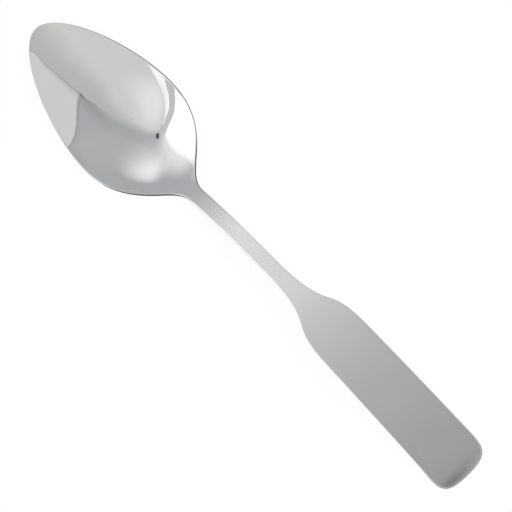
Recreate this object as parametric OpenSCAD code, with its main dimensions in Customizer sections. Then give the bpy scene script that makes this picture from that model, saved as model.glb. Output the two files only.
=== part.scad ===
// Teaspoon, stamped and pressed from one sheet of stainless steel.
// It lies as it would beside a cup: the underside of the bowl and the end of the handle touch the table,
// which is at z = 0.
// x runs along the spoon from the tip of the bowl to the end of the handle, y runs across it and z is up.
// The steel has no seam. It is drawn as three lengths that meet face to face across the shank,
// because the bowl is polished to a mirror and the rest has a satin finish.

/* [Bowl] */
// Length from the tip to where the outline runs into the shank
bowl_length = 58.2; // [55:0.2:64]
// Width across the widest place
bowl_width = 31.6; // [28:0.2:36]
// Distance from the tip to the widest place
bowl_widest_at = 33; // [28:0.5:36]
// Distance from the tip to the deepest place
bowl_deepest_at = 42.8; // [38:0.2:46]
// Thickness of the steel, measured upright
bowl_thickness = 1.1; // [0.8:0.1:1.6]
// Radius of the rounded rim
rim_edge_radius = 0.45; // [0.2:0.05:0.6]
// Pull of the outline straight across the tip: more makes the tip blunter
tip_pull = 7.6; // [6:0.2:11]
// Pull of the outline along the side, in front of the widest place
front_pull = 12.8; // [8:0.2:16]
// Pull of the outline along the side, behind the widest place
back_pull = 16.4; // [12:0.2:22]
// Pull of the outline along the neck
neck_pull = 6.8; // [4:0.2:10]
// Fullness of the hollow across the bowl: 0 is a parabola, more is flatter in the middle
hollow_fullness = 0.33; // [0:0.01:0.6]
// Angle at which the hollow drops from the tip
tip_hollow_angle = 19.5; // [14:0.5:28]
// Radius along the hollow at its deepest place
hollow_radius = 34; // [24:1:60]
// Distance before the neck at which the hollow has run out into a flat ramp
hollow_before_neck = 1.2; // [0:0.2:4]

/* [Side view] */
// Height of the rim at the tip
tip_height = 10.8; // [9:0.1:13]
// Angle at which the rim drops from the tip
tip_rim_angle = 7; // [3:0.5:10]
// Distance from the tip to the lowest place of the rim
rim_lowest_at = 42; // [36:0.5:46]
// Height of the rim at its lowest place
rim_lowest_height = 5.4; // [4.8:0.05:6.4]
// Radius of the rim's dip there
rim_dip_radius = 74; // [50:1:120]
// Height of the shank's root, where the hollow has run out
root_height = 6.2; // [5.6:0.1:7.2]
// Angle at which the root climbs
root_angle = 28.3; // [22:0.1:34]
// Radius of the root's crest
root_radius = 40; // [30:1:90]
// Height of the arch at its top
arch_height = 12.6; // [11:0.1:14]
// Radius of the arch at its top
arch_radius = 130; // [90:5:250]
// Distance from the far end of the shank to the top of the arch
arch_past_shank = 12; // [4:0.5:18]
// Angle at which the handle comes down to the table
end_angle = 15.8; // [12:0.2:19]
// Radius of the handle's droop there
end_radius = 260; // [150:10:500]

/* [Shank] */
// Length of the narrow stretch
shank_length = 24.3; // [18:0.1:36]
// Width of the narrow stretch
shank_width = 4.1; // [3.4:0.1:6]
// Thickness of the narrow stretch, measured upright
shank_thickness = 2.6; // [1.8:0.1:3.2]
// Radius of its rounded edges
shank_edge_radius = 0.5; // [0.3:0.05:1]

/* [Handle] */
// Length over which the shank widens into the blade
shoulder_length = 28.3; // [24:0.1:36]
// Length of the blade
blade_length = 45.2; // [36:0.2:60]
// Width of the blade where the shoulder ends
blade_width = 14.4; // [11:0.1:17]
// Width of the blade where its corners begin
blade_end_width = 15.5; // [12:0.1:18]
// Thickness of the blade, measured upright
blade_thickness = 2; // [1.5:0.1:2.8]
// Radius of its rounded sides
blade_edge_radius = 0.45; // [0.2:0.05:0.9]
// Radius of its rounded end
end_edge_radius = 0.9; // [0.3:0.05:0.9]
// Pull of the shoulder's outline along the shank
shoulder_shank_pull = 21.2; // [14:0.2:24]
// Pull of the shoulder's outline along the blade
shoulder_blade_pull = 15.4; // [8:0.2:18]
// Length of the rounded corners along the blade
corner_length = 7.2; // [4:0.2:10]
// Pull of the corners along the blade's side
corner_side_pull = 5.2; // [2:0.2:6]
// Pull of the corners along the blade's end: more makes the end squarer
corner_end_pull = 7.4; // [5:0.2:9]

/* [Fineness] */
// Facets across the spoon
facets_across = 20; // [12:2:28]
// Rows of facets along each curve of the outline
facets_along = 14; // [8:1:20]
// Facets in each quarter turn of a rounded edge
facets_per_edge = 3; // [2:1:4]

/* [Hidden] */

// Largest share of the thickness that a rounded edge may take from each face
edge_limit = 0.46;
// Part of the tip's curve that belongs to the tip, and part of the corner's curve that belongs to the side
tip_share = 0.18;
corner_share = 0.6;

// Places along the spoon, from the tip of the bowl
neck_x = bowl_length;
root_x = neck_x - hollow_before_neck;
shoulder_x = neck_x + shank_length;
arch_x = shoulder_x + arch_past_shank;
blade_x = shoulder_x + shoulder_length;
end_x = blade_x + blade_length;
corner_x = end_x - corner_length;

// Half widths, and how much of it the blade gains with each millimetre
bowl_half = bowl_width / 2;
shank_half = shank_width / 2;
blade_half = blade_width / 2;
corner_half = blade_end_width / 2;
blade_taper = (corner_half - blade_half) / (corner_x - blade_x);

// Outline of one side in plan, as cubic curves with two end points and two pulls each
tip_curve = [
    [0, 0],
    [0, tip_pull],
    [bowl_widest_at - front_pull, bowl_half],
    [bowl_widest_at, bowl_half]
];
neck_curve = [
    [bowl_widest_at, bowl_half],
    [bowl_widest_at + back_pull, bowl_half],
    [neck_x - neck_pull, shank_half],
    [neck_x, shank_half]
];
shank_line = straight([neck_x, shank_half], [shoulder_x, shank_half]);
shoulder_curve = [
    [shoulder_x, shank_half],
    [shoulder_x + shoulder_shank_pull, shank_half],
    [blade_x - shoulder_blade_pull, blade_half - blade_taper * shoulder_blade_pull],
    [blade_x, blade_half]
];
blade_line = straight([blade_x, blade_half], [corner_x, corner_half]);
corner_curve = [
    [corner_x, corner_half],
    [corner_x + corner_side_pull, corner_half + blade_taper * corner_side_pull],
    [end_x, corner_end_pull],
    [end_x, 0]
];

// Side view, as smooth lines through [place, value, slope, bend], where a bend is 1 over its radius
root_place = [root_x, root_height, tan(root_angle), -1 / root_radius];
top_line = [
    [0, tip_height, -tan(tip_rim_angle), 0],
    [rim_lowest_at, rim_lowest_height, 0, 1 / rim_dip_radius],
    root_place,
    [arch_x, arch_height, 0, -1 / arch_radius],
    [end_x, blade_thickness, -tan(end_angle), -1 / end_radius]
];
hollow_line = [
    [0, tip_height, -tan(tip_hollow_angle), 0],
    [bowl_deepest_at, bowl_thickness, 0, 1 / hollow_radius],
    root_place
];
thickness_line = [
    level(bowl_deepest_at, bowl_thickness),
    level(neck_x, shank_thickness),
    level(shoulder_x, shank_thickness),
    level(blade_x, blade_thickness)
];
edge_line = [
    level(bowl_deepest_at, rim_edge_radius),
    level(neck_x, shank_edge_radius),
    level(shoulder_x, shank_edge_radius),
    level(blade_x, blade_edge_radius),
    level(corner_x, blade_edge_radius),
    level(end_x, end_edge_radius)
];

// A straight line written as a curve
function straight(a, b) = [a, a + (b - a) / 3, b - (b - a) / 3, b];

// Point and direction on a cubic curve, for t from 0 to 1
function on_curve(c, t) =
    pow(1 - t, 3) * c[0] + 3 * t * pow(1 - t, 2) * c[1] + 3 * t * t * (1 - t) * c[2] + pow(t, 3) * c[3];
function along_curve(c, t) =
    pow(1 - t, 2) * (c[1] - c[0]) + 2 * t * (1 - t) * (c[2] - c[1]) + t * t * (c[3] - c[2]);

// Station on the outline: its place, its half width and the direction that faces outwards there
function station(c, t) =
    let (p = on_curve(c, t), d = along_curve(c, t), n = norm(d))
    [p.x, p.y, [-d.y, d.x] / n];

// A place on a smooth line where it runs level and straight
function level(place, value) = [place, value, 0, 0];

// Value at x on a smooth line, constant before its first place and after its last.
// Slope and bend carry on from each stretch to the next, so that the polished steel shows no kink.
function follow(line, x, i = 0) =
    i < len(line) - 2 && x > line[i + 1][0] ? follow(line, x, i + 1) : ease(line[i], line[i + 1], x);
function ease(a, b, x) =
    let (span = b[0] - a[0], u = max(0, min(1, (x - a[0]) / span)), w = 1 - u)
    a[1] + (b[1] - a[1]) * pow(u, 3) * (10 - 15 * u + 6 * u * u)
    + span * (a[2] * u * pow(w, 3) * (1 + 3 * u) - b[2] * pow(u, 3) * w * (1 + 3 * w))
    + span * span * (a[3] * u * u * pow(w, 3) + b[3] * pow(u, 3) * w * w) / 2;

// Height of the top face at x, where v runs from 0 on the centre line to 1 at the edge
function top_height(x, v) =
    let (rim = follow(top_line, x), depth = x < root_x ? max(0, rim - follow(hollow_line, x)) : 0)
    rim - depth * (1 - (1 - hollow_fullness) * v * v - hollow_fullness * pow(v, 4));
function thickness_at(x) = follow(thickness_line, x);
function edge_at(x) = min(follow(edge_line, x), edge_limit * thickness_at(x));

// Rows of points on the top face, drawn in by the edge radius, from the left side to the right.
// way is 1 where the rows run along +x and -1 where they run towards the tip.
function across(j) = 1 - 2 * j / facets_across;
function inset_x(s) = s[0] - edge_at(s[0]) * s[2].x;
function inset_half(s) = s[1] - edge_at(s[0]) * s[2].y;
function straight_row(s, way) = [
    for (j = [0:facets_across])
        [inset_x(s), way * across(j) * inset_half(s), top_height(inset_x(s), across(j))]
];
function round_station(round_end, j) =
    station(round_end[0], round_end[1] + (round_end[2] - round_end[1]) * abs(across(j)));
function round_row(round_end, way) = [
    for (j = [0:facets_across])
        let (s = round_station(round_end, j))
        [inset_x(s), way * sign(across(j)) * inset_half(s), top_height(inset_x(s), 1)]
];

// Places on the boundary of the top face, in order: up the left side, round the end and down the right side.
// Each holds its row, its place in the row, the direction that faces outwards and the edge radius.
function left_edge(stations, way) = [
    for (i = [0:len(stations) - 1])
        let (s = stations[i])
        [i, 0, [s[2].x, way * s[2].y], edge_at(s[0])]
];
function end_edge(round_end, row, way) = [
    for (j = [1:facets_across - 1])
        let (s = round_station(round_end, j))
        [row, j, [s[2].x, way * sign(across(j)) * s[2].y], edge_at(s[0])]
];
function right_edge(stations, way) = [
    for (i = [len(stations) - 1:-1:0])
        let (s = stations[i])
        [i, facets_across, [s[2].x, -way * s[2].y], edge_at(s[0])]
];

// Points of the rounded edge between a point p of the top face and the point under it
function edge_points(p, outwards, radius) = concat(
    [
        for (k = [1:facets_per_edge])
            let (a = 90 - 90 * k / facets_per_edge)
            p + radius * [outwards.x * cos(a), outwards.y * cos(a), sin(a) - 1]
    ],
    [
        for (k = [0:facets_per_edge - 1])
            let (a = 90 * k / facets_per_edge)
            under(p) + radius * [outwards.x * cos(a), outwards.y * cos(a), 1 - sin(a)]
    ]
);
function under(p) = p - [0, 0, thickness_at(p.x)];
function quad(a, b, c, d) = [[a, b, c], [a, c, d]];

// One length of the spoon: a top face of rows, the same face underneath and a rounded edge between them,
// closed by a flat face at its first row and by a round end, or by a second flat face, at its last row
module length_of_steel(stations, way, round_end = undef) {
    has_end = !is_undef(round_end);
    last = len(stations) - 1;
    rows = [
        for (i = [0:last])
            has_end && i == last ? round_row(round_end, way) : straight_row(stations[i], way)
    ];
    boundary = concat(
        left_edge(stations, way),
        has_end ? end_edge(round_end, last, way) : [],
        right_edge(stations, way)
    );
    top_points = [for (row = rows) each row];
    below = len(top_points);
    edge_steps = 2 * facets_per_edge;

    function at(row, j) = row * (facets_across + 1) + j;
    function low(row, j) = below + at(row, j);
    function column(i) = concat(
        [at(boundary[i][0], boundary[i][1])],
        [for (k = [0:edge_steps - 1]) 2 * below + i * edge_steps + k],
        [low(boundary[i][0], boundary[i][1])]
    );
    function flat_face(row, left, right) = concat(
        [
            for (j = [0:facets_across - 1])
                each quad(at(row, j), at(row, j + 1), low(row, j + 1), low(row, j))
        ],
        [for (k = [1:edge_steps]) [left[0], left[k + 1], left[k]]],
        [for (k = [1:edge_steps]) [right[0], right[k], right[k + 1]]]
    );
    function turned(faces) = [for (f = faces) [f[2], f[1], f[0]]];

    polyhedron(
        points = concat(
            top_points,
            [for (p = top_points) under(p)],
            [for (b = boundary) each edge_points(rows[b[0]][b[1]], b[2], b[3])]
        ),
        faces = concat(
            [
                for (i = [0:last - 1], j = [0:facets_across - 1])
                    each quad(at(i, j), at(i + 1, j), at(i + 1, j + 1), at(i, j + 1))
            ],
            [
                for (i = [0:last - 1], j = [0:facets_across - 1])
                    each quad(low(i, j), low(i, j + 1), low(i + 1, j + 1), low(i + 1, j))
            ],
            [
                for (i = [0:len(boundary) - 2])
                    if (has_end || i != last)
                        let (a = column(i), b = column(i + 1))
                        for (k = [0:edge_steps]) each quad(a[k], a[k + 1], b[k + 1], b[k])
            ],
            flat_face(0, column(0), column(len(boundary) - 1)),
            has_end ? [] : turned(flat_face(last, column(last), column(last + 1)))
        ),
        convexity = 4
    );
}

// Moves the middle of the spoon's length to the origin
module centred() {
    translate([-end_x / 2, 0, 0]) children();
}

module bowl() {
    stations = concat(
        [for (i = [0:facets_along]) station(neck_curve, 1 - i / facets_along)],
        [for (i = [1:facets_along]) station(tip_curve, 1 - (1 - tip_share) * i / facets_along)]
    );
    color("silver") centred() length_of_steel(stations, -1, [tip_curve, 0, tip_share]);
}

module shank() {
    stations = [for (i = [0:facets_along]) station(shank_line, i / facets_along)];
    color("gainsboro") centred() length_of_steel(stations, 1);
}

module handle() {
    stations = concat(
        [for (i = [0:facets_along]) station(shoulder_curve, i / facets_along)],
        [for (i = [1:facets_along]) station(blade_line, i / facets_along)],
        [for (i = [1:facets_along]) station(corner_curve, corner_share * i / facets_along)]
    );
    color("darkgray") centred() length_of_steel(stations, 1, [corner_curve, 1, corner_share]);
}

bowl();
shank();
handle();
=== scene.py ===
import math
import bmesh
import bpy
from mathutils import Matrix, Vector


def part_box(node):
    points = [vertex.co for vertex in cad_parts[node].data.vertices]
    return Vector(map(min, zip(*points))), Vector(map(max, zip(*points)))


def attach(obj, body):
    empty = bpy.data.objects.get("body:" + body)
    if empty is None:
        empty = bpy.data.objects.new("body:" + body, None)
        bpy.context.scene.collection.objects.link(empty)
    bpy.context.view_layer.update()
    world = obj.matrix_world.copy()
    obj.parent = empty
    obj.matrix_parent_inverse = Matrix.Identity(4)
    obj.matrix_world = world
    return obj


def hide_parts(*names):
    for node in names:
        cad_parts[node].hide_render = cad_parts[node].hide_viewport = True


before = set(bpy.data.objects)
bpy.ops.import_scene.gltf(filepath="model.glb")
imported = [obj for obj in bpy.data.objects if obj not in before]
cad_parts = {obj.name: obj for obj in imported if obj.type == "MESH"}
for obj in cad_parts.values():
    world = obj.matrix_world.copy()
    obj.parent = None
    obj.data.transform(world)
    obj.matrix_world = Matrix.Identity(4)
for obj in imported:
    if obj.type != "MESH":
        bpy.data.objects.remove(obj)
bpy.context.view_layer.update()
scene = bpy.context.scene
scene.view_settings.view_transform = "Standard"

mm = 0.001
bowlLow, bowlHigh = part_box("bowl")
shankLow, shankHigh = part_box("shank")
handleLow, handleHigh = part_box("handle")
tipPlace = Vector((bowlLow.x, 0, 0))  # on the floor under the tip of the bowl
print("frame loaded: bowl, shank and handle")

# camera, over the spoon and turned so that it lies from the upper left to the lower right
photoView = {
    "azimuth": 18.43,
    "elevation": 82.73,
    "turn": 45.5,  # how far the spoon's length is turned in the picture
    "distance": 1.0,
    "lens": 279.7,
    "aim": (0.0, 0.0, 0.006),
    "slideRight": 0.00095,
    "slideUp": -0.00096,
    "nearest": 0.05,
    "farthest": 60,
}


def makeCamera(look):
    azimuth, elevation, turn = (math.radians(look[k]) for k in ("azimuth", "elevation", "turn"))
    back = Vector((
        math.sin(azimuth) * math.cos(elevation),
        -math.cos(azimuth) * math.cos(elevation),
        math.sin(elevation),
    ))
    along = Vector((1, 0, 0))
    along = (along - back * along.dot(back)).normalized()  # the spoon's length, seen in the picture
    across = back.cross(along)
    right = math.cos(turn) * along + math.sin(turn) * across
    up = back.cross(right)
    place = Vector(look["aim"]) + back * look["distance"]
    place += right * look["slideRight"] + up * look["slideUp"]
    data = bpy.data.cameras.new("photoCamera")
    data.lens = look["lens"]
    data.clip_start, data.clip_end = look["nearest"], look["farthest"]
    camera = bpy.data.objects.new("photoCamera", data)
    camera.matrix_world = Matrix((
        (right.x, up.x, back.x, place.x),
        (right.y, up.y, back.y, place.y),
        (right.z, up.z, back.z, place.z),
        (0, 0, 0, 1),
    ))
    scene.collection.objects.link(camera)
    scene.camera = camera


makeCamera(photoView)
print("camera set")

# sizes are in millimetres and x starts at the tip of the bowl
# an edge is the radius that rounds it, and a pull is how far a curve of the outline keeps its direction
bowlShape = {
    "length": (bowlHigh.x - bowlLow.x) / mm,
    "width": (bowlHigh.y - bowlLow.y) / mm,
    "widestAt": 33.0,
    "deepestAt": 42.8,
    "thickness": 1.1,
    "tipEdge": 0.1,
    "tipEdgeEnds": 24.0,
    "rimEdge": 0.34,
    "rimEdgeEnds": 44.0,
    "neckEdge": 0.5,
    "neckEdgeAt": 53.0,
    "tipPull": 7.6,
    "frontPull": 12.8,
    "backPull": 16.4,
    "neckPull": 6.8,
    "fullness": 0.33,  # 0 is a parabola across the bowl
    "tipHollowAngle": 19.5,
    "hollowRadius": 34.0,
    "hollowBeforeNeck": 1.2,
    "tipHeight": 10.8,
    "tipRimAngle": 7.0,
    "rimLowestAt": 42.0,
    "rimLowestHeight": 5.4,
    "rimDipRadius": 74.0,
}
shankShape = {
    "length": (shankHigh.x - shankLow.x) / mm,
    "width": (shankHigh.y - shankLow.y) / mm,
    "thickness": 2.6,
    "edge": 0.22,
    "edgeFrom": 4.0,
    "rootHeight": 6.2,
    "rootAngle": 28.3,
    "rootRadius": 40.0,
    "archHeight": 12.6,
    "archPastShank": 12.0,
    "archRadius": 130.0,
}
handleShape = {
    "length": (handleHigh.x - handleLow.x) / mm,
    "shoulder": 28.3,
    "width": 14.4,
    "endWidth": 15.5,
    "thickness": 2.0,
    "edge": 0.25,
    "endEdge": 0.9,
    "shankPull": 21.2,
    "bladePull": 15.4,
    "cornerLength": 7.2,
    "cornerSidePull": 5.2,
    "cornerEndPull": 7.4,
    "endAngle": 15.8,
    "endRadius": 260.0,
    "droop": 0.35,  # the last few millimetres turn down a little more
    "droopLength": 5.0,
}
fineness = {
    "across": 56,
    "along": 56,  # rows on each curve of the outline
    "edge": 6,  # facets in a quarter turn of a rounded edge
    "edgeLimit": 0.46,  # share of the thickness that an edge may take
    "tipShare": 0.03,  # where on the tip's curve the last row of the bowl starts
    "cornerShare": 0.96,  # where on the corner's curve the last row of the handle starts
    "rimStep": 0.016,  # share of the half width that turns over into the rim
    "seamStep": 0.04,  # thin first row at a cut, which keeps the shading the same on both sides
}

neckX = bowlShape["length"]
rootX = neckX - bowlShape["hollowBeforeNeck"]
shoulderX = neckX + shankShape["length"]
archX = shoulderX + shankShape["archPastShank"]
bladeX = shoulderX + handleShape["shoulder"]
endX = shoulderX + handleShape["length"]
cornerX = endX - handleShape["cornerLength"]
bowlHalf, shankHalf = bowlShape["width"] / 2, shankShape["width"] / 2
bladeHalf, cornerHalf = handleShape["width"] / 2, handleShape["endWidth"] / 2
bladeTaper = (cornerHalf - bladeHalf) / (cornerX - bladeX)


def tangent(degrees):
    return math.tan(math.radians(degrees))


def straight(a, b):
    a, b = Vector(a), Vector(b)
    return [a, a.lerp(b, 1 / 3), a.lerp(b, 2 / 3), b]


def curve(*points):
    return [Vector(p) for p in points]


# outline of one half, from the tip to the handle's end
tipCurve = curve(
    (0, 0),
    (0, bowlShape["tipPull"]),
    (bowlShape["widestAt"] - bowlShape["frontPull"], bowlHalf),
    (bowlShape["widestAt"], bowlHalf),
)
neckCurve = curve(
    (bowlShape["widestAt"], bowlHalf),
    (bowlShape["widestAt"] + bowlShape["backPull"], bowlHalf),
    (neckX - bowlShape["neckPull"], shankHalf),
    (neckX, shankHalf),
)
shankLine = straight((neckX, shankHalf), (shoulderX, shankHalf))
shoulderCurve = curve(
    (shoulderX, shankHalf),
    (shoulderX + handleShape["shankPull"], shankHalf),
    (bladeX - handleShape["bladePull"], bladeHalf - bladeTaper * handleShape["bladePull"]),
    (bladeX, bladeHalf),
)
bladeLine = straight((bladeX, bladeHalf), (cornerX, cornerHalf))
cornerCurve = curve(
    (cornerX, cornerHalf),
    (cornerX + handleShape["cornerSidePull"], cornerHalf + bladeTaper * handleShape["cornerSidePull"]),
    (endX, handleShape["cornerEndPull"]),
    (endX, 0),
)

# knots along the spoon: place, value, slope and bend
rootKnot = (rootX, shankShape["rootHeight"], tangent(shankShape["rootAngle"]), -1 / shankShape["rootRadius"])
topLine = [
    (0, bowlShape["tipHeight"], -tangent(bowlShape["tipRimAngle"]), 0),
    (bowlShape["rimLowestAt"], bowlShape["rimLowestHeight"], 0, 1 / bowlShape["rimDipRadius"]),
    rootKnot,
    (archX, shankShape["archHeight"], 0, -1 / shankShape["archRadius"]),
    (endX, handleShape["thickness"], -tangent(handleShape["endAngle"]), -1 / handleShape["endRadius"]),
]
hollowLine = [
    (0, bowlShape["tipHeight"], -tangent(bowlShape["tipHollowAngle"]), 0),
    (bowlShape["deepestAt"], bowlShape["thickness"], 0, 1 / bowlShape["hollowRadius"]),
    rootKnot,
]
thicknessLine = [
    (bowlShape["deepestAt"], bowlShape["thickness"], 0, 0),
    (neckX, shankShape["thickness"], 0, 0),
    (shoulderX, shankShape["thickness"], 0, 0),
    (bladeX, handleShape["thickness"], 0, 0),
]
edgeLine = [
    (0, bowlShape["tipEdge"], 0, 0),
    (bowlShape["tipEdgeEnds"], bowlShape["rimEdge"], 0, 0),
    (bowlShape["rimEdgeEnds"], bowlShape["rimEdge"], 0, 0),
    (bowlShape["neckEdgeAt"], bowlShape["neckEdge"], 0, 0),
    (neckX + shankShape["edgeFrom"], shankShape["edge"], 0, 0),
    (shoulderX, shankShape["edge"], 0, 0),
    (bladeX, handleShape["edge"], 0, 0),
    (cornerX, handleShape["edge"], 0, 0),
    (endX, handleShape["endEdge"], 0, 0),
]


def ease(a, b, x):
    # curve from one knot to the next that keeps the slope and bend of both
    span = b[0] - a[0]
    u = max(0.0, min(1.0, (x - a[0]) / span))
    w = 1 - u
    level = a[1] + (b[1] - a[1]) * u**3 * (10 - 15 * u + 6 * u * u)
    slope = a[2] * u * w**3 * (1 + 3 * u) - b[2] * u**3 * w * (1 + 3 * w)
    bend = (a[3] * u * u * w**3 + b[3] * u**3 * w * w) / 2
    return level + span * slope + span * span * bend


def follow(line, x):
    i = 0
    while i < len(line) - 2 and x > line[i + 1][0]:
        i += 1
    return ease(line[i], line[i + 1], x)


def droopAt(x):
    return handleShape["droop"] * max(0.0, 1 - (endX - x) / handleShape["droopLength"]) ** 3


def topHeight(x, v):
    # v is 0 along the middle and 1 or -1 at the sides
    rim = follow(topLine, x) - droopAt(x)
    depth = max(0.0, rim - follow(hollowLine, x)) if x < rootX else 0.0
    full = bowlShape["fullness"]
    return rim - depth * (1 - (1 - full) * v * v - full * v**4)


def thicknessAt(x):
    return follow(thicknessLine, x) - droopAt(x)


def edgeAt(x):
    return min(follow(edgeLine, x), fineness["edgeLimit"] * thicknessAt(x))


def station(c, t):
    # a place on the outline and the direction that faces outwards there
    p = (1 - t) ** 3 * c[0] + 3 * t * (1 - t) ** 2 * c[1] + 3 * t * t * (1 - t) * c[2] + t**3 * c[3]
    d = (1 - t) ** 2 * (c[1] - c[0]) + 2 * t * (1 - t) * (c[2] - c[1]) + t * t * (c[3] - c[2])
    outward = Vector((-d.y, d.x)).normalized()
    return p, outward


def stations(c, first, last, thinFirst=False, thinLast=False):
    count = fineness["along"]
    steps = [first + (last - first) * i / count for i in range(count + 1)]
    thin = fineness["seamStep"] / (c[3] - c[0]).length
    if thinFirst:
        steps.insert(1, first + (last - first) * thin)
    if thinLast:
        steps.insert(-1, last - (last - first) * thin)
    return [station(c, t) for t in steps]


def joined(*parts):
    # stretches of outline in a row, with each shared station kept once
    made = list(parts[0])
    for part in parts[1:]:
        made += part[1:]
    return made


def inset(s):
    p, outward = s
    return p - outward * edgeAt(p.x)


def acrossSteps(softRim):
    steps = [1 - 2 * j / fineness["across"] for j in range(fineness["across"] + 1)]
    if softRim:
        steps = [1, 1 - fineness["rimStep"]] + steps[1:-1] + [fineness["rimStep"] - 1, -1]
    return steps


def layRows(outline, way, across, roundEnd):
    # rows of the top, and once round its border: row, column, outward direction and edge radius
    last = len(outline) - 1

    def borderAt(row, column, s, side):
        p, outward = s
        return row, column, Vector((outward.x, side * outward.y, 0)), edgeAt(p.x)

    rows, end = [], []
    for p in map(inset, outline):
        rows.append([Vector((p.x, way * a * p.y, topHeight(p.x, a))) for a in across])
    if roundEnd:
        c, start, stop = roundEnd
        sides = [way if a >= 0 else -way for a in across]
        ends = [station(c, start + (stop - start) * abs(a)) for a in across]
        rows[last] = [
            Vector((p.x, side * p.y, topHeight(p.x, 1))) for p, side in zip(map(inset, ends), sides)
        ]
        end = [borderAt(last, j, ends[j], sides[j]) for j in range(1, len(across) - 1)]
    there = [borderAt(i, 0, s, way) for i, s in enumerate(outline)]
    back = [borderAt(i, len(across) - 1, s, -way) for i, s in enumerate(outline)]
    return rows, there + end + back[::-1]


def buildLength(name, outline, way, roundEnd=None, softRim=False, crisp=False):
    # top rows, the same rows underneath, a rounded edge all round and flat faces at the cuts
    rows, border = layRows(outline, way, acrossSteps(softRim), roundEnd)
    last, columns = len(rows) - 1, len(rows[0])
    mesh = bmesh.new()

    def vertex(p):
        return mesh.verts.new(p * mm + tipPlace)

    def under(p):
        return Vector((p.x, p.y, p.z - thicknessAt(p.x)))

    def face(*corners):
        return mesh.faces.new(corners)

    top = [[vertex(p) for p in row] for row in rows]
    low = [[vertex(under(p)) for p in row] for row in rows]
    up = Vector((0, 0, 1))
    turns = [math.radians(90 * k / fineness["edge"]) for k in range(fineness["edge"])]
    rim = []
    for i, j, side, radius in border:
        p = rows[i][j]
        q = under(p)
        column = [top[i][j]]
        for a in reversed(turns):
            column.append(vertex(p + radius * (side * math.cos(a) + up * (math.sin(a) - 1))))
        for a in turns:
            column.append(vertex(q + radius * (side * math.cos(a) + up * (1 - math.sin(a)))))
        column.append(low[i][j])
        rim.append(column)

    for i in range(last):
        for j in range(columns - 1):
            face(top[i][j], top[i + 1][j], top[i + 1][j + 1], top[i][j + 1])
            face(low[i][j], low[i][j + 1], low[i + 1][j + 1], low[i + 1][j])
    for i in range(len(rim) - 1):
        if roundEnd or i != last:
            a, b = rim[i], rim[i + 1]
            for k in range(len(a) - 1):
                face(a[k], a[k + 1], b[k + 1], b[k])
    cuts = [(0, rim[0], rim[-1], False)]
    if not roundEnd:
        cuts.append((last, rim[last], rim[last + 1], True))
    flat = []
    for row, left, right, turned in cuts:
        faces = [
            (top[row][j], top[row][j + 1], low[row][j + 1], low[row][j]) for j in range(columns - 1)
        ]
        faces += [(left[0], left[k + 1], left[k]) for k in range(1, len(left) - 1)]
        faces += [(right[0], right[k], right[k + 1]) for k in range(1, len(right) - 1)]
        flat += [face(*(reversed(f) if turned else f)) for f in faces]

    for f in mesh.faces:
        f.smooth = True
    if crisp:
        for a, b in zip(rim, rim[1:]):
            mesh.edges.get((a[0], b[0])).smooth = False
    for f in flat:
        f.smooth = False
        for e in f.edges:
            e.smooth = False
    bmesh.ops.recalc_face_normals(mesh, faces=mesh.faces)
    data = bpy.data.meshes.new(name)
    mesh.to_mesh(data)
    mesh.free()
    piece = bpy.data.objects.new(name, data)
    scene.collection.objects.link(piece)
    return piece


bowl = buildLength(
    "spoonBowl",
    joined(
        stations(neckCurve, 1, 0, thinFirst=True),
        stations(tipCurve, 1, fineness["tipShare"]),
    ),
    -1,
    roundEnd=(tipCurve, 0, fineness["tipShare"]),
    softRim=True,
)
shank = buildLength("spoonShank", stations(shankLine, 0, 1, thinFirst=True, thinLast=True), 1)
handle = buildLength(
    "spoonHandle",
    joined(
        stations(shoulderCurve, 0, 1, thinFirst=True),
        stations(bladeLine, 0, 1),
        stations(cornerCurve, 0, fineness["cornerShare"]),
    ),
    1,
    roundEnd=(cornerCurve, 1, fineness["cornerShare"]),
    crisp=True,
)
for piece, node, slot in (
    (bowl, "bowl", "bowl_steel"),
    (shank, "shank", "handle_steel"),
    (handle, "handle", "handle_steel"),
):
    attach(piece, "root")
    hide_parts(node)
print("steel built:", [len(p.data.polygons) for p in (bowl, shank, handle)])


def remap(tree, value, low, high, first, last, smooth=True):
    node = tree.nodes.new("ShaderNodeMapRange")
    if smooth:
        node.interpolation_type = "SMOOTHSTEP"
    for socket, number in (("From Min", first), ("From Max", last), ("To Min", low), ("To Max", high)):
        node.inputs[socket].default_value = number
    tree.links.new(value, node.inputs["Value"])
    return node.outputs["Result"]


def multiply(tree, value, other):
    node = tree.nodes.new("ShaderNodeMath")
    node.operation = "MULTIPLY"
    tree.links.new(value, node.inputs[0])
    if isinstance(other, float):
        node.inputs[1].default_value = other
    else:
        tree.links.new(other, node.inputs[1])
    return node.outputs["Value"]


def mixShaders(tree, share, first, second):
    node = tree.nodes.new("ShaderNodeMixShader")
    for socket, value in zip(node.inputs, (share, first, second)):
        tree.links.new(value, socket)
    return node.outputs["Shader"]


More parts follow.
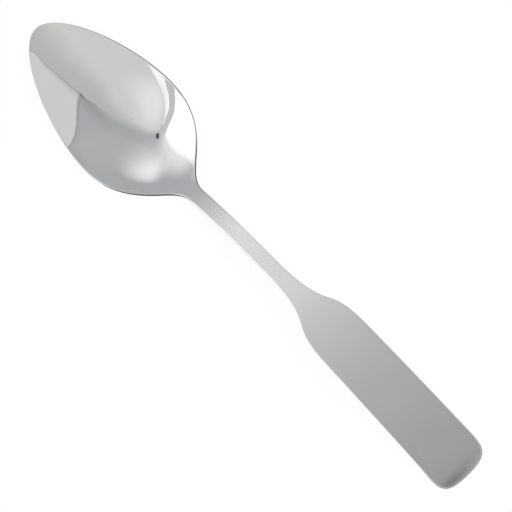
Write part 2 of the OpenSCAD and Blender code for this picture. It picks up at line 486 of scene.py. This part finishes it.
# finishes, from a mirror to satin along the spoon; places are in metres in the spoon's own frame
bowlFinish = {
    "tint": (0.80, 0.80, 0.795),
    "satinTintAndPaintedLift": (0.80, 0.80, 0.795),
    "mirror": 0.03,
    "satin": 0.18,
    "satinFrom": bowlLow.x + 44 * mm,
    "satinTo": bowlLow.x + 58 * mm,
    "grain": 0.05,
    "ripple": 0.02,
}
handleFinish = {
    "tint": (0.80, 0.80, 0.795),
    # painted light: the handle's colour grows lighter towards its satin end, standing in for brighter
    # reflections there
    "satinTintAndPaintedLift": (0.85, 0.85, 0.845),
    "mirror": 0.18,
    "satin": 0.24,
    "satinFrom": shankLow.x + 16 * mm,
    "satinTo": shankHigh.x + 12 * mm,
    "grain": 0.05,
    "ripple": 0.0,
}
polish = {
    "clouds": {"scale": 120, "detail": 4},
    "marks": {"scale": 900, "detail": 6, "stretch": (0.15, 1, 1)},
    "grain": {"scale": 2600, "detail": 3, "stretch": (0.03, 1, 1)},
    "ripple": {"scale": 160, "detail": 1},
    "noise": (0.3, 0.7),  # the noise stays mostly between these
    "cloudShade": (0.985, 1.015),
    "markDepth": (0.94, 1.06),
    "grainHeight": 0.02 * mm,
    "rippleHeight": 0.2 * mm,
}


def steelMaterial(name, look):
    material = bpy.data.materials.new(name)
    material.use_nodes = True
    tree = material.node_tree
    nodes, links = tree.nodes, tree.links
    shader = nodes["Principled BSDF"]
    shader.inputs["Metallic"].default_value = 1.0
    place = nodes.new("ShaderNodeTexCoord")
    split = nodes.new("ShaderNodeSeparateXYZ")
    links.new(place.outputs["Object"], split.inputs["Vector"])
    satin = remap(tree, split.outputs["X"], 0, 1, look["satinFrom"], look["satinTo"])

    def noise(scale, detail, stretch=(1, 1, 1)):
        mapping = nodes.new("ShaderNodeMapping")
        mapping.inputs["Scale"].default_value = stretch
        links.new(place.outputs["Object"], mapping.inputs["Vector"])
        texture = nodes.new("ShaderNodeTexNoise")
        texture.inputs["Scale"].default_value = scale
        texture.inputs["Detail"].default_value = detail
        links.new(mapping.outputs["Vector"], texture.inputs["Vector"])
        return texture.outputs["Fac"]

    def colourMix(blend="MIX"):
        node = nodes.new("ShaderNodeMix")
        node.data_type = "RGBA"
        node.blend_type = blend
        return node

    # colour from the mirror end to the satin end, faintly cloudy; on the handle the satin end is painted
    # lighter, a painted lift in brightness that stands in for light along the handle
    ends = colourMix()
    links.new(satin, ends.inputs["Factor"])
    ends.inputs["A"].default_value = (*look["tint"], 1)
    ends.inputs["B"].default_value = (*look["satinTintAndPaintedLift"], 1)
    clouds = remap(tree, noise(**polish["clouds"]), *polish["cloudShade"], *polish["noise"], smooth=False)
    cloudy = colourMix("MULTIPLY")
    cloudy.inputs["Factor"].default_value = 1.0
    links.new(ends.outputs["Result"], cloudy.inputs["A"])
    links.new(clouds, cloudy.inputs["B"])
    links.new(cloudy.outputs["Result"], shader.inputs["Base Color"])

    # roughness from the mirror end to the satin end, with polishing marks
    rough = remap(tree, satin, look["mirror"], look["satin"], 0, 1, smooth=False)
    marks = remap(tree, noise(**polish["marks"]), *polish["markDepth"], *polish["noise"], smooth=False)
    links.new(multiply(tree, rough, marks), shader.inputs["Roughness"])

    # fine grain along the spoon where it is satin, slow ripple where it is a mirror
    grain = nodes.new("ShaderNodeBump")
    grain.inputs["Distance"].default_value = polish["grainHeight"]
    links.new(multiply(tree, satin, look["grain"]), grain.inputs["Strength"])
    links.new(noise(**polish["grain"]), grain.inputs["Height"])
    ripple = nodes.new("ShaderNodeBump")
    ripple.inputs["Distance"].default_value = polish["rippleHeight"]
    ripple.inputs["Strength"].default_value = look["ripple"]
    links.new(noise(**polish["ripple"]), ripple.inputs["Height"])
    links.new(grain.outputs["Normal"], ripple.inputs["Normal"])
    links.new(ripple.outputs["Normal"], shader.inputs["Normal"])
    return material


mirrorSteel = steelMaterial("mirrorSteel", bowlFinish)
satinSteel = steelMaterial("satinSteel", handleFinish)
bowl.data.materials.append(mirrorSteel)
shank.data.materials.append(satinSteel)
handle.data.materials.append(satinSteel)
print("steel finished")

# floor: white to the camera; seen in the steel it is white on the near side, with a painted shadow on the
# far side of the spoon and under the handle's end; it keeps part of the spoon's shadow
floorLook = {
    "size": 8.0,
    "colour": 0.92,
    "clean": 0.95,  # share of plain white, the rest takes the shadow
    "inSteelNear": 1.1,  # seen in the steel, on the near side of the spoon
    # painted shadow seen in the steel, on the far side of the spoon
    "inSteelFarShadow": 0.15,
    "inSteelEndShadow": 0.4,  # painted shadow seen in the steel, under the handle's end
    "change": 5 * mm,
    "endShadowFrom": 66 * mm,
    "endShadowTo": 76 * mm,
}


def makeFloor(look):
    half = look["size"] / 2
    corners = [(-half, -half, 0), (half, -half, 0), (half, half, 0), (-half, half, 0)]
    data = bpy.data.meshes.new("studioFloor")
    data.from_pydata(corners, [], [(0, 1, 2, 3)])
    floor = bpy.data.objects.new("studioFloor", data)
    scene.collection.objects.link(floor)

    material = bpy.data.materials.new("studioFloor")
    material.use_nodes = True
    tree = material.node_tree
    nodes, links = tree.nodes, tree.links
    nodes.remove(nodes["Principled BSDF"])
    diffuse = nodes.new("ShaderNodeBsdfDiffuse")
    diffuse.inputs["Color"].default_value = (look["colour"],) * 3 + (1,)
    white = nodes.new("ShaderNodeEmission")
    place = nodes.new("ShaderNodeTexCoord")
    split = nodes.new("ShaderNodeSeparateXYZ")
    links.new(place.outputs["Object"], split.inputs["Vector"])
    # what the steel sees of the floor: white near the spoon, painted shadow past its far side and under the
    # handle's end
    near, farShadow = look["inSteelNear"], look["inSteelFarShadow"]
    level = nodes.new("ShaderNodeMix")
    links.new(remap(tree, split.outputs["X"], 0, 1, look["endShadowFrom"], look["endShadowTo"]), level.inputs["Factor"])
    links.new(remap(tree, split.outputs["Y"], near, farShadow, -look["change"], look["change"]), level.inputs["A"])
    level.inputs["B"].default_value = look["inSteelEndShadow"]
    grey = nodes.new("ShaderNodeEmission")
    links.new(level.outputs["Result"], grey.inputs["Strength"])
    path = nodes.new("ShaderNodeLightPath")
    clean = multiply(tree, path.outputs["Is Camera Ray"], look["clean"])
    seen = mixShaders(tree, clean, diffuse.outputs["BSDF"], white.outputs["Emission"])
    mirrored = mixShaders(tree, path.outputs["Is Glossy Ray"], seen, grey.outputs["Emission"])
    links.new(mirrored, nodes["Material Output"].inputs["Surface"])
    data.materials.append(material)


makeFloor(floorLook)

# soft lamp for the floor, hidden from the steel
lampLook = {"size": 3.0, "height": 2.6, "power": 60.0}


def makeLamp(look):
    data = bpy.data.lights.new("floorLamp", "AREA")
    data.size = look["size"]
    data.energy = look["power"]
    lamp = bpy.data.objects.new("floorLamp", data)
    lamp.location = (0, 0, look["height"])
    scene.collection.objects.link(lamp)
    lamp.visible_glossy = False
    lamp.visible_camera = False


makeLamp(lampLook)

# world: white behind the spoon, mid grey room in the steel
roomLook = {"grey": (0.476, 0.489, 0.509)}


def makeRoom(look):
    world = bpy.data.worlds.new("studioRoom")
    scene.world = world
    world.use_nodes = True
    tree = world.node_tree
    room = tree.nodes["Background"]
    room.inputs["Color"].default_value = (*look["grey"], 1)
    white = tree.nodes.new("ShaderNodeBackground")
    white.inputs["Color"].default_value = (1, 1, 1, 1)
    path = tree.nodes.new("ShaderNodeLightPath")
    toCamera = path.outputs["Is Camera Ray"]
    seen = mixShaders(tree, toCamera, room.outputs["Background"], white.outputs["Background"])
    tree.links.new(seen, tree.nodes["World Output"].inputs["Surface"])


makeRoom(roomLook)
print("floor, lamp and room set")


def ring(centre, longSize, shortSize, tilt=0, count=40):
    tilt = math.radians(tilt)
    points = []
    for i in range(count):
        a = 2 * math.pi * i / count - tilt
        x, y = longSize * math.cos(a), shortSize * math.sin(a)
        points.append((
            centre[0] + x * math.cos(tilt) - y * math.sin(tilt),
            centre[1] + x * math.sin(tilt) + y * math.cos(tilt),
        ))
    return points


# cards that the steel reflects: corners are degrees from straight overhead, along and across the spoon;
# a card fades from its core to its outer line, and cards named first hang lower
warm, cool, plain, cream = (1.0, 1.0, 0.985), (0.985, 0.993, 1.01), (1, 1, 1), (1, 1, 0.997)
seam = [
    (21.2, 14.8), (22.5, 16.6), (24.1, 18.4), (25.9, 20.2), (26.9, 21.7),
    (27.9, 23.4), (28.9, 24.8), (29.9, 26), (31.3, 28.4), (32.5, 30.4),
    (33.5, 32.8), (34.7, 35.7), (36.3, 39.2), (38.5, 43), (41, 48),
]
softSeam = [
    (4, -10), (8, -5.5), (11.5, -2), (13.6, 1.4), (15.2, 4), (16.6, 5.8),
    (17.8, 7), (18.7, 8.7), (19.5, 10.2), (20.2, 11.8), (20.8, 12.4),
]
farSeam = [
    (2.3, -6.8), (5.3, -0.4), (10.3, 5.2), (13.2, 6.4), (15, 7.3), (16.4, 8.8),
    (17.7, 9.9), (18.5, 11.4), (19.4, 12.5), (20.1, 13.6), (20.8, 14.3),
]
sideEdge = [(21.1, 14.7), (20.7, 21.1), (20.1, 27.7), (19.4, 35.4), (18.5, 46.9), (17.7, 59.7), (17.4, 68)]
frontEdge = [
    (26, -60), (16.6, -49.3), (13, -45.2), (9.4, -42.2), (6, -39),
    (3.4, -34.5), (2.2, -29.5), (1.6, -25), (1.8, -19), (2.2, -13),
]
frontCore = [
    (28, -58), (18.6, -47.5), (15, -43.2), (11.2, -40), (7.6, -37),
    (4.9, -32.8), (3.7, -28), (2.4, -24), (2.2, -18.5), (2.5, -12.5),
]
frontFar = [(44, 12), (44, -30), (42, -48)]
shadeCore = [
    (18.8, 8.7), (18.9, 8.4), (19.3, 8.6), (20.9, 9.5), (23.4, 12.5), (27, 18),
    (30, 20), (32, 21), (33, 22), (35, 23), (42, 24),
]
shadeEdge = [
    (7, 1.5), (9, -2), (17.5, -1), (21.4, -8), (23, -11), (26, -14),
    (30, -20), (33, -24), (36, -26), (39, -27), (42, -28),
]
stripEdge = [
    (2.2, -8), (1.4, -19), (1.1, -25.6), (0.5, -30.3), (0.2, -34.7), (1, -37.8),
    (1.6, -40.6), (3.8, -45.4), (7.6, -49.2), (9.4, -52), (11.7, -56), (16, -63),
]
wallEdge = [
    (0.2, -8), (-2.2, -15.3), (-3.3, -22), (-4.7, -29.8), (-6.1, -38.8),
    (-5.7, -45), (-4.8, -49.5), (-2.2, -54.9), (4, -63),
]
wallBack = [(-66, -58), (-55, -66), (-30, -81), (-5, -86), (10, -76)] + wallEdge[:1:-1]
neckBack = [(-80, -6), (-78, -34)]
cards = [
    {"name": "lensDot", "level": 0.1, "tint": cool,
     "core": ring((1.9, -6.6), 0.8, 1.5), "outer": ring((1.9, -6.6), 1.9, 3)},
    {"name": "seamDot", "level": 0.2, "tint": cool,
     "core": ring((21.1, 14.6), 0.2, 0.2), "outer": ring((21.1, 14.6), 0.8, 0.8)},
    {"name": "sideLine", "level": 0.3, "tint": cool, "strip": True,
     "core": sideEdge, "outer": [(x + 0.7, y) for x, y in sideEdge]},
    {"name": "seamLine", "level": 0.42, "tint": cool, "strip": True,
     "core": seam, "outer": [(x, y - 1.6) for x, y in seam]},
    {"name": "panelShade", "level": 0.63, "tint": plain, "strip": True,
     "core": seam[:9], "outer": [(x + 0.4, y + 6) for x, y in seam[:8]] + seam[8:9]},
    {"name": "frontGlow", "level": 0.94, "tint": cream,
     "core": ring((10.8, -20), 2, 7), "outer": ring((11.3, -25), 11, 27)},
    {"name": "tipShade", "level": 0.575, "tint": (1, 1, 0.995),
     "core": shadeCore + seam[::-1] + softSeam[:-4:-1],
     "outer": shadeEdge + seam[::-1] + farSeam[:-4:-1]},
    {"name": "frontPanel", "level": 0.74, "tint": warm,
     "core": softSeam + seam + frontFar + frontCore,
     "outer": farSeam + seam + frontFar + frontEdge},
    {"name": "sidePanel", "level": 0.745, "tint": (0.995, 0.995, 1.0),
     "core": seam + [(41, 68)] + sideEdge[::-1]},
    {"name": "dotShade", "level": 0.41, "tint": plain,
     "core": ring((20.4, 14.4), 0.6, 0.3, 60), "outer": ring((19.8, 15.4), 7, 5.5, 60)},
    {"name": "cornerGlow", "level": 1.16, "tint": cream,
     "core": [(x + 1, y + 1) for x, y in frontCore] + stripEdge[1:]},
    {"name": "greyStrip", "level": 0.66, "tint": cool,
     "core": wallEdge + stripEdge[::-1]},
    {"name": "whiteWall", "level": 1.35, "tint": cool,
     "core": [(-4.5, -17.5), (-8, -17.5), (-19, -20), (-35, -27), (-47, -35), (-60, -44)] + wallBack,
     "outer": [(-3.5, -12), (-8, -11), (-19, -10.5), (-35, -13), (-47, -19), (-62, -28)] + wallBack},
    {"name": "neckShade", "level": 0.47, "tint": cool,
     "core": [(-60, -30), (-60.5, -15), (-61, -4)] + neckBack,
     "outer": [(-56.2, -29), (-56.6, -14), (-57.5, 2)] + neckBack},
    {"name": "wallGlow", "level": 0.93, "tint": cool,
     "core": [(-6.5, -14), (-11, -11), (-19, -9), (-40, -14), (-45, -22), (-53, -36)] + wallBack,
     "outer": [(2, -1), (-5, 10), (-19, 12), (-42, 23), (-57, 13), (-65, -26)] + wallBack},
    {"name": "softBox", "level": 1.04, "tint": (0.984, 0.99, 1.015),
     "core": ring((-16.2, 20), 2.3, 1, 24.5), "outer": ring((-16.2, 20), 26.3, 37.2, 24.5)},
    {"name": "sideGlow", "level": 0.53, "tint": cool,
     "core": [(4, 8), (11, 15), (14, 24), (15.5, 36), (16, 52), (11, 52), (9, 32)],
     "outer": [(-7, 1), (13, 9), (19, 21), (20, 38), (19, 66), (-6, 66), (-12, 32)]},
]
cardPlace = {"height": 6.0, "step": 0.05, "over": (bowlLow.x + 38 * mm, 0, 3 * mm)}
# low cards over the handle's end: corners are millimetres from the tip, so that only the end sees them
lowCards = [
    {"name": "endShade", "level": 0.1, "tint": cool, "height": 33 * mm,
     "core": [(184, -22), (184, -2), (198, -2), (198, -22)],
     "outer": [(172, -28), (172, 14), (206, 14), (206, -28)]},
    {"name": "bladeShade", "level": 0.36, "tint": (0.99, 1.0, 0.99), "height": 150 * mm,
     "core": [(245, 120), (245, -120), (280, -120), (280, 120)],
     "outer": [(172, 170), (172, -170), (300, -170), (300, 170)]},
    {"name": "handleShade", "level": 0.46, "tint": (0.985, 1.0, 1.0), "height": 153 * mm,
     "core": [(164, 120), (164, -120), (280, -120), (280, 120)],
     "outer": [(131, 170), (131, -170), (300, -170), (300, 170)]},
]


def fadeMaterial(name, level, tint):
    material = bpy.data.materials.new(name)
    material.use_nodes = True
    tree = material.node_tree
    nodes = tree.nodes
    nodes.remove(nodes["Principled BSDF"])
    light = nodes.new("ShaderNodeEmission")
    light.inputs["Color"].default_value = (*tint, 1)
    light.inputs["Strength"].default_value = level
    clear = nodes.new("ShaderNodeBsdfTransparent")
    fade = nodes.new("ShaderNodeAttribute")
    fade.attribute_name = "fade"
    share = remap(tree, fade.outputs["Fac"], 0, 1, 0, 1)
    sheet = mixShaders(tree, share, clear.outputs["BSDF"], light.outputs["Emission"])
    tree.links.new(sheet, nodes["Material Output"].inputs["Surface"])
    return material


def hangSheet(name, mesh, level, tint):
    # a card or flag that only the steel sees
    data = bpy.data.meshes.new(name)
    mesh.to_mesh(data)
    mesh.free()
    sheet = bpy.data.objects.new(name, data)
    scene.collection.objects.link(sheet)
    sheet.visible_camera = False
    sheet.visible_diffuse = False
    sheet.visible_shadow = False
    data.materials.append(fadeMaterial(name, level, tint))


def overhead(corner, height):
    # where a direction in degrees meets the ceiling
    along, across = corner
    lean = math.radians(math.hypot(along, across))
    heading = math.atan2(across, along)
    toward = Vector((math.sin(lean) * math.cos(heading), math.sin(lean) * math.sin(heading), math.cos(lean)))
    return Vector(cardPlace["over"]) + toward * (height / toward.z)


def overSpoon(corner, height):
    return tipPlace + Vector((corner[0] * mm, corner[1] * mm, height))


def makeCard(look, place, height):
    strip = look.get("strip", False)  # a strip is a line that fades to one side
    mesh = bmesh.new()
    fade = mesh.verts.layers.float.new("fade")
    core = [mesh.verts.new(place(c, height)) for c in look["core"]]
    for v in core:
        v[fade] = 1.0
    if not strip:
        bmesh.ops.triangulate(mesh, faces=[mesh.faces.new(core)])
    if "outer" in look:
        outer = [mesh.verts.new(place(c, height)) for c in look["outer"]]
        for i in range(len(core) - 1 if strip else len(core)):
            j = (i + 1) % len(core)
            if look["core"][i] != look["outer"][i] or look["core"][j] != look["outer"][j]:
                mesh.faces.new((core[i], core[j], outer[j], outer[i]))
    hangSheet(look["name"], mesh, look["level"], look["tint"])


for i, look in enumerate(cards):
    makeCard(look, overhead, cardPlace["height"] + i * cardPlace["step"])
for look in lowCards:
    makeCard(look, overSpoon, look["height"])

# flags that stand close to the bowl's edge: the dark ones draw the thin lines along it,
# and the grey one just inside hides a double reflection
flags = [
    {"name": "bowlFlag", "level": 0.1, "side": 1, "from": 8, "to": 47,
     "gap": 0.6, "above": 0.3, "grow": 12},
    {"name": "neckFlag", "level": 0.1, "side": 1, "from": 47, "to": 60,
     "gap": 1.2, "above": 1.2, "grow": 3},
    {"name": "lowerFlag", "level": 0.1, "side": -1, "from": 38, "to": 59,
     "gap": 1.0, "above": 3.0, "grow": 8},
    {"name": "innerFlag", "level": 0.5, "side": -1, "from": 32, "to": 56,
     "gap": -1.35, "above": 0.1, "grow": 4},
]
flagCloth = {"tint": cool, "below": 2.0, "soft": 1.3, "hem": 0.05}
flagLine = joined(*(stations(c, 0, 1) for c in (tipCurve, neckCurve, shankLine)))


def makeFlag(look, cloth):
    mesh = bmesh.new()
    fade = mesh.verts.layers.float.new("fade")
    before = None
    for p, outward in flagLine:
        if look["from"] <= p.x <= look["to"]:
            foot = p + outward * look["gap"]
            rim = topHeight(p.x, 1)
            full = min(1.0, min(p.x - look["from"], look["to"] - p.x) / look["grow"])  # low at both ends
            above, below = look["above"] * full, cloth["below"] * full
            heights = (rim - below - cloth["hem"], rim + above, rim + above * cloth["soft"] + cloth["hem"])
            line = [Vector((foot.x, look["side"] * foot.y, z)) for z in heights]
            here = [mesh.verts.new(q * mm + tipPlace) for q in line]
            here[0][fade] = here[1][fade] = 1.0
            if before:
                for k in (0, 1):
                    mesh.faces.new((before[k], here[k], here[k + 1], before[k + 1]))
            before = here
    hangSheet(look["name"], mesh, look["level"], cloth["tint"])


for look in flags:
    makeFlag(look, flagCloth)
print("studio set:", len(cards) + len(lowCards), "cards and", len(flags), "flags")
